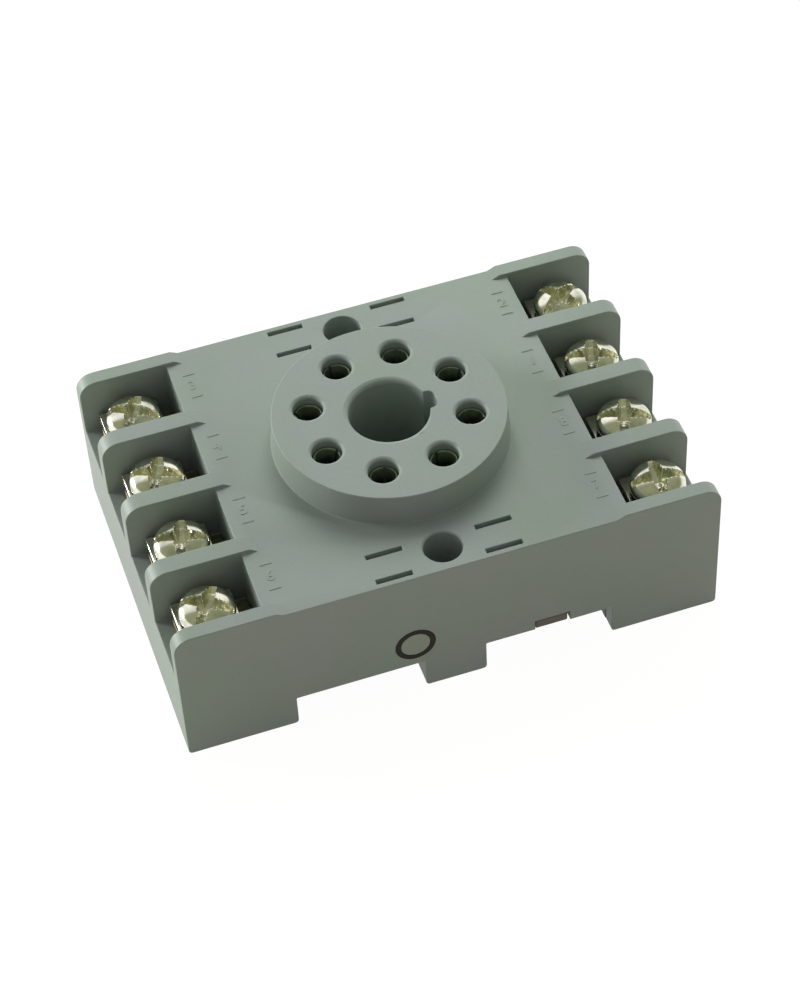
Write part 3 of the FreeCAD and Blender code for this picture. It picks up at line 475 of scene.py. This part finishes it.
def screw_shank():
    """Rolled thread: radius = outer - depth (1 - |2 fraction(z / pitch - angle / turn) - 1|), where the ridge
    fades at both ends."""
    around = np.linspace(0, 2 * np.pi, SHANK_SIDES, endpoint=False)
    down = np.linspace(SHANK_TOP, -THREAD_LENGTH, SHANK_ROWS)
    z, turn = np.meshgrid(down, around, indexing="ij")
    wave = np.abs(2 * np.mod(z / THREAD_PITCH - turn / (2 * np.pi), 1) - 1)
    fade = np.minimum((THREAD_TOP - z) / THREAD_RUN_IN, (z + THREAD_LENGTH) / THREAD_RUN_OUT)
    radius = THREAD_RADIUS - THREAD_DEPTH + THREAD_DEPTH * wave * np.clip(fade, 0, 1)
    radius[[0, -1]] = AXIS_RING
    points = np.stack([radius * np.cos(turn), radius * np.sin(turn), z], axis=-1).reshape(-1, 3)
    return points, grid_faces(SHANK_ROWS, SHANK_SIDES, True)[:, ::-1]


def turned(points, angle):
    """Points turned about the Z axis by an angle in radians."""
    cosine = math.cos(angle)
    sine = math.sin(angle)
    return points @ np.array([[cosine, sine, 0], [-sine, cosine, 0], [0, 0, 1]])


head_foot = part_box("terminal_screw_1")[1][2] / MM - HEAD_HEIGHT
# The hollow under each head and the shank are painted dark, a painted shadow for the gap under the rim.
screw_plate = plated_metal("bright_nickel_plate", "#F6F4E2", "#C9CCBB", roughness=0.1, scratch=0.003,
                           painted_shade_below=head_foot + HEAD_HOLLOW)
head_points, head_faces = screw_head()
shank_points, shank_faces = screw_shank()
screw_points = np.concatenate([head_points, shank_points])
screw_faces = np.concatenate([head_faces, shank_faces + len(head_points)]).tolist()
for count, turn in zip(TERMINALS, SCREW_TURNS):
    low, high = np.array(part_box(f"terminal_screw_{count}")) / MM
    foot = np.array([(low[0] + high[0]) / 2, (low[1] + high[1]) / 2, high[2] - HEAD_HEIGHT])
    points = turned(screw_points, math.radians(turn)) + foot
    mesh = mesh_from(f"screw_{count}_turned", points, screw_faces, SCREW_SMOOTH)
    screw = show(f"screw_{count}_turned", mesh, screw_plate, f"screw_{count}")
    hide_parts(f"terminal_screw_{count}")

# Contact sleeves
# Phosphor bronze sheet rolled into a tube and slit from the top, so that the two halves spring against the
# relay's pin, pinched below their rounded mouths. The metal has gone dark green-grey with handling.
SLEEVE_RADIUS = 1.58
SLEEVE_WALL = 0.26
SLEEVE_NECK = 2.4
SLEEVE_SLIT = 0.45
SLEEVE_SMOOTH = 35.0
PINCH = 0.3
PINCH_DEPTH = 1.3
PINCH_LENGTH = 0.8
RISE_STEPS = 15
LIP_STEPS = 7
JAW_STEPS = 19
NECK_STEPS = 41
NECK_SEAM = 0.01


def shell_section(low, high):
    """Section of the tube's wall: up the outside, over the rounded lip, down the inside. The radius is the
    tube's less pinch x exp(-((depth below the mouth - pinch depth) / length)^2)."""
    rise = np.linspace(low, high - SLEEVE_WALL / 2, RISE_STEPS)
    lip = np.linspace(0, np.pi, LIP_STEPS)[1:-1]
    outside = SLEEVE_RADIUS - PINCH * np.exp(-((sleeve_top - rise - PINCH_DEPTH) / PINCH_LENGTH) ** 2)
    middle = outside[-1] - SLEEVE_WALL / 2
    radius = np.concatenate([outside, middle + SLEEVE_WALL / 2 * np.cos(lip), outside[::-1] - SLEEVE_WALL])
    height = np.concatenate([rise, rise[-1] + SLEEVE_WALL / 2 * np.sin(lip), rise[::-1]])
    return radius, height


def turned_shell(section, start, stop, steps):
    """The section carried round the tube's axis from one angle to another, closed by a face at each end."""
    radius, height = section
    angles = np.linspace(start, stop, steps)[:, None]
    heights = np.broadcast_to(height, (steps, len(height)))
    points = np.stack([radius * np.cos(angles), radius * np.sin(angles), heights], axis=-1).reshape(-1, 3)
    faces = grid_faces(steps, len(radius), True).tolist()
    ends = [list(range(len(radius)))[::-1], list(range(len(points) - len(radius), len(points)))]
    return points, faces + ends


def sleeve():
    """Two jaws with a slit between them, standing on a whole neck that laps over their roots."""
    spare = SLEEVE_SLIT / 2 / SLEEVE_RADIUS
    neck_top = sleeve_foot + SLEEVE_NECK
    jaw = shell_section(neck_top, sleeve_top)
    neck = shell_section(sleeve_foot, neck_top + SLEEVE_WALL / 2)
    points = np.empty((0, 3))
    faces = []
    for section, start, stop, steps in ((jaw, spare, np.pi - spare, JAW_STEPS),
                                        (jaw, np.pi + spare, 2 * np.pi - spare, JAW_STEPS),
                                        (neck, 0, 2 * np.pi - NECK_SEAM, NECK_STEPS)):
        more_points, more_faces = turned_shell(section, start, stop, steps)
        faces += [[corner + len(points) for corner in face] for face in more_faces]
        points = np.concatenate([points, more_points])
    return points, faces


sleeve_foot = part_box("contact_sleeve_1")[0][2] / MM
sleeve_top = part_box("contact_sleeve_1")[1][2] / MM
sleeve_metal = plated_metal("dull_tinned_bronze", "#9CAB98", "#66745F", roughness=0.48, scratch=0.004)
sleeve_points, sleeve_faces = sleeve()
for count in TERMINALS:
    _, _, angle = terminal(count)
    foot = np.array([PIN_CIRCLE / 2 * math.cos(angle), PIN_CIRCLE / 2 * math.sin(angle), 0])
    points = turned(sleeve_points, angle) + foot
    mesh = mesh_from(f"sleeve_{count}_rolled", points, sleeve_faces, SLEEVE_SMOOTH)
    rolled = show(f"sleeve_{count}_rolled", mesh, sleeve_metal, "socket_body")
    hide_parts(f"contact_sleeve_{count}")

# Base cover
# Brown phenolic moulding, dull and faintly mottled, that closes the base and carries the rail hooks. Its ears
# show in the wall notches.
COVER_ROUND = 0.18
brown_phenolic = moulded_plastic("brown_phenolic", "#5C554A", "#665F52", roughness=0.55, grain_depth=0.01)
softened("base_cover", brown_phenolic, "socket_body", COVER_ROUND)

# Rail latch and its spring
# The latch is black polyamide with a faint sheen and slides in the cover's guide. The spring is a bowed leaf
# of blued steel: the frame's own node with a new material, because it is shortened as the latch moves.
LATCH_ROUND = 0.15
black_polyamide = moulded_plastic("black_polyamide", "#1B1B1C", "#202021", roughness=0.45,
                                  grain_depth=0.008)
softened("rail_latch", black_polyamide, "latch", LATCH_ROUND)
spring_steel = plated_metal("blued_spring_steel", "#77787A", "#5A5B60", roughness=0.28, scratch=0.003)
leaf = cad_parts["latch_spring"]
leaf.data.materials.clear()
leaf.data.materials.append(spring_steel)

# Table and light
# A sheet of ivory paper, with a big lamp high behind it, one low on each side and a weak warm one in front.
# Seen directly all is white but for the socket's soft shadow, while the metal mirrors white screens behind
# and beside it and a dim olive room in front.
TABLE_HALF = 1500.0
PAPER = "#DDD7C4"
PAPER_FIBRE = 0.8
GLOW_STRENGTH = 1.08
GLOW_SHARE = 0.9
SKY = "#A09F9F"
ROOM_SHADE = "#8F937B"
WHITE = (1, 1, 1, 1)
REAR_SCREEN = (0.42, 0.56)
SIDE_SCREEN = (0.7, 0.84)
SIDE_SCREEN_TOP = (0.45, 0.3)


def white_sheet():
    """Diffuse ivory paper. Seen directly or mirrored, a glow of its own brings it to the picture's white."""
    material = new_material("white_paper")
    tree = material.node_tree
    place = add(tree, "TexCoord").outputs["Object"]
    fibres = add(tree, "TexNoise", {"Scale": 1 / (PAPER_FIBRE * MM), "Detail": 3.0}, {"Vector": place})
    tone = add(tree, "MapRange", {"To Min": 0.97, "To Max": 1.02}, {"Value": fibres.outputs["Fac"]})
    ivory = add(tree, "VectorMath", {1: linear(PAPER)[:3]}, {0: tone.outputs["Result"]},
                operation="MULTIPLY")
    paper = add(tree, "BsdfDiffuse", links={"Color": ivory.outputs["Vector"]})
    ray = add(tree, "LightPath")
    seen = add(tree, "Math", links={0: ray.outputs["Is Camera Ray"], 1: ray.outputs["Is Glossy Ray"]},
               operation="MAXIMUM")
    glow = add(tree, "Emission", {"Color": WHITE, "Strength": GLOW_STRENGTH})
    bright = add(tree, "MixShader", {"Fac": GLOW_SHARE},
                 {1: paper.outputs["BSDF"], 2: glow.outputs["Emission"]})
    either = add(tree, "MixShader", links={"Fac": seen.outputs["Value"], 1: paper.outputs["BSDF"],
                                           2: bright.outputs["Shader"]})
    add(tree, "OutputMaterial", links={"Surface": either.outputs["Shader"]})
    return material


reach = TABLE_HALF * MM
sheet = bpy.data.meshes.new("table_sheet")
sheet.from_pydata([(-reach, -reach, 0), (reach, -reach, 0), (reach, reach, 0), (-reach, reach, 0)], [],
                  [(0, 1, 2, 3)])
sheet.materials.append(white_sheet())
table = bpy.data.objects.new("table_sheet", sheet)
bpy.context.scene.collection.objects.link(table)
table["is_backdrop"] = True

world = bpy.data.worlds.new("studio")
world.use_nodes = True
room = world.node_tree
room.nodes.clear()
ray = add(room, "LightPath")
way = add(room, "SeparateXYZ", links={0: add(room, "TexCoord").outputs["Generated"]})
sideways = add(room, "Math", links={0: way.outputs["X"]}, operation="ABSOLUTE")
rear_screen = add(room, "MapRange", {"From Min": REAR_SCREEN[0], "From Max": REAR_SCREEN[1]},
                  {"Value": way.outputs["Y"]})
beside = add(room, "MapRange", {"From Min": SIDE_SCREEN[0], "From Max": SIDE_SCREEN[1]},
             {"Value": sideways.outputs["Value"]})
under_top = add(room, "MapRange", {"From Min": SIDE_SCREEN_TOP[0], "From Max": SIDE_SCREEN_TOP[1]},
                {"Value": way.outputs["Z"]})
side_screen = add(room, "Math", links={0: beside.outputs["Result"], 1: under_top.outputs["Result"]},
                  operation="MULTIPLY")
screens = add(room, "Math", links={0: side_screen.outputs["Value"], 1: rear_screen.outputs["Result"]},
              operation="MAXIMUM")
reflected = add(room, "Mix", {6: linear(ROOM_SHADE), 7: WHITE}, {0: screens.outputs["Value"]},
                data_type="RGBA")
unseen = add(room, "Mix", {6: linear(SKY)}, {0: ray.outputs["Is Glossy Ray"], 7: reflected.outputs[2]},
             data_type="RGBA")
shown = add(room, "Mix", {7: WHITE}, {0: ray.outputs["Is Camera Ray"], 6: unseen.outputs[2]},
            data_type="RGBA")
sky = add(room, "Background", links={"Color": shown.outputs[2]})
add(room, "OutputWorld", links={"Surface": sky.outputs["Background"]})
bpy.context.scene.world = world


def lamp(name, spot, size, level, colour, mirrored=True):
    """A square lamp aimed at the socket: power = pi^2 distance^2 level, so a level of 1 shows a colour as it
    is written. One that isn't mirrored lights the socket and makes no highlight."""
    light = bpy.data.lights.new(name, "AREA")
    light.size = size * MM
    place = Vector(spot) * MM
    light.energy = math.pi ** 2 * place.length_squared * level
    light.color = linear(colour)[:3]
    holder = bpy.data.objects.new(name, light)
    holder.location = place
    holder.rotation_euler = (-place).to_track_quat("-Z", "Y").to_euler()
    holder.visible_glossy = mirrored
    bpy.context.scene.collection.objects.link(holder)


lamp("key_back", (110, 290, 340), 280, 0.66, "#FFFFFF", mirrored=False)
lamp("side_left", (-285, 185, 75), 120, 0.76, "#FFFFFF")
lamp("side_right", (300, 110, 90), 160, 0.2, "#FFFFFF", mirrored=False)
lamp("fill_front", (80, -480, 220), 260, 0.01, "#FFE2BC")

# Camera
# Where the photograph was taken from, found by laying the socket's known sizes over the picture.
CAMERA_SPOT = (-57.421, -202.970, 242.910)
CAMERA_LOOK = Vector((0.18329082, 0.64134243, -0.74503984))
CAMERA_UP = Vector((0.26376535, 0.69800557, 0.66574474))
FOCAL_PIXELS = 2867.7
PICTURE_HEIGHT = 1000
SENSOR = 36.0
lens = bpy.data.cameras.new("camera")
lens.sensor_width = SENSOR
lens.lens = FOCAL_PIXELS / PICTURE_HEIGHT * SENSOR
lens.clip_start = 0.01
camera = bpy.data.objects.new("camera", lens)
look = CAMERA_LOOK.normalized()
across = look.cross(CAMERA_UP).normalized()
aim = Matrix((across, across.cross(look), -look)).transposed()
camera.matrix_world = Matrix.Translation(Vector(CAMERA_SPOT) * MM) @ aim.to_4x4()
bpy.context.scene.collection.objects.link(camera)
bpy.context.scene.camera = camera
bpy.context.scene.view_settings.view_transform = "Standard"


def plain(value):
    """Nested tuples and vectors as plain lists of numbers."""
    if isinstance(value, (int, float)):
        return float(value)
    return [plain(part) for part in value]


{"cad": plain(cad_bounds), "visual": plain(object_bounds())}
